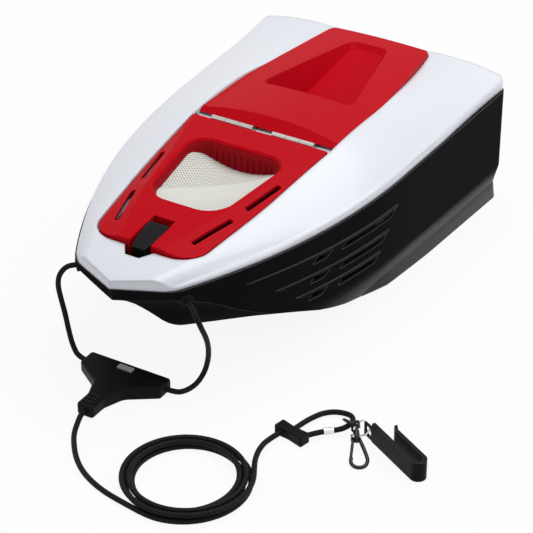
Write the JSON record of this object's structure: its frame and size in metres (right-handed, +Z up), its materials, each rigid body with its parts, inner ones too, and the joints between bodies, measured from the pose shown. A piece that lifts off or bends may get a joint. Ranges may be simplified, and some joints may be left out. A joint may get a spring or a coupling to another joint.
{
  "type": "towable live bait boat",
  "caption": "Towable boat-shaped keep box for live bait: slotted hull, deck with a hinged lid and net window, hand well, bridle, coiled tow line, snap hook and belt clip.",
  "frame": {"origin": "on the floor under the middle of the boat's hull and deck", "axes": "+X to starboard, +Y towards the flat stern (the bow points along -Y), +Z up"},
  "size_m": [0.4081, 0.5872, 0.1395],
  "materials": {
    "hull_black": "fine grained moulded black plastic",
    "deck_white": "smooth moulded white plastic",
    "panel_red": "smooth moulded red plastic",
    "net": "woven pale net",
    "foam": "closed cell foam",
    "ballast": "coated plate",
    "grommet_rubber": "smooth rubber",
    "cord": "braided black cord",
    "fitting_black": "satin moulded black plastic",
    "bright_metal": "bright plated metal",
    "dark_metal": "black plated metal",
    "steel": "stainless steel"
  },
  "bodies": {
    "boat": {"ballast_plate": "ballast", "ballast_screw_front": "steel", "ballast_screw_rear": "steel", "belt_clip": "fitting_black", "bow_grommet_left": "grommet_rubber", "bow_grommet_right": "grommet_rubber", "bridle_knot_left": "cord", "bridle_knot_right": "cord", "bridle_left": "cord", "bridle_right": "cord", "bridle_yoke": "fitting_black", "cord_stopper": "fitting_black", "deck_leaf_left": "steel", "deck_leaf_right": "steel", "deck_leaf_screw_left_1": "steel", "deck_leaf_screw_left_2": "steel", "deck_leaf_screw_right_1": "steel", "deck_leaf_screw_right_2": "steel", "deck_screw_left_1": "steel", "deck_screw_left_2": "steel", "deck_screw_left_3": "steel", "deck_screw_right_1": "steel", "deck_screw_right_2": "steel", "deck_screw_right_3": "steel", "deck_shell": "deck_white", "float_left": "foam", "float_right": "foam", "hinge_pin_left": "steel", "hinge_pin_right": "steel", "hull_shell": "hull_black", "link_ring": "dark_metal", "loop_cord": "cord", "loop_ferrule": "bright_metal", "panel_screw_left_1": "steel", "panel_screw_left_2": "steel", "panel_screw_right_1": "steel", "panel_screw_right_2": "steel", "rear_panel": "panel_red", "split_ring": "bright_metal", "swivel_eye": "dark_metal", "tow_line": "cord", "yoke_insert": "bright_metal"},
    "lid": {"front_lid": "panel_red", "chute_collar": "panel_red", "net_front_flap": "net", "net_rear_flap": "net", "latch_pin": "steel", "lid_leaf_left": "steel", "lid_leaf_right": "steel", "lid_leaf_screw_left_1": "steel", "lid_leaf_screw_left_2": "steel", "lid_leaf_screw_right_1": "steel", "lid_leaf_screw_right_2": "steel"},
    "latch": {"latch_lever": "fitting_black"},
    "snap": {"snap_hook": "dark_metal", "gate_pin": "steel"},
    "gate": {"snap_gate": "dark_metal"}
  },
  "joints": [
    {"name": "lid_hinge", "type": "hinge", "parent": "boat", "child": "lid", "pos_m": [0, 0.01, 0.133], "axis": [-1, 0, 0], "range_deg": [0, 110]},
    {"name": "latch_pivot", "type": "hinge", "parent": "lid", "child": "latch", "pos_m": [0, -0.17, 0.1135], "axis": [1, 0, 0], "range_deg": [0, 25], "stiffness_Nm_per_rad": 0.05},
    {"name": "snap_swivel", "type": "hinge", "parent": "boat", "child": "snap", "pos_m": [0.20109, -0.18028, 0.00904], "axis": [0.542, -0.8275, -0.1469], "continuous": true},
    {"name": "gate_pivot", "type": "hinge", "parent": "snap", "child": "gate", "pos_m": [0.20611, -0.19319, 0.00703], "axis": [0.0805, -0.1229, 0.9891], "range_deg": [0, 20], "stiffness_Nm_per_rad": 0.002}
  ]
}
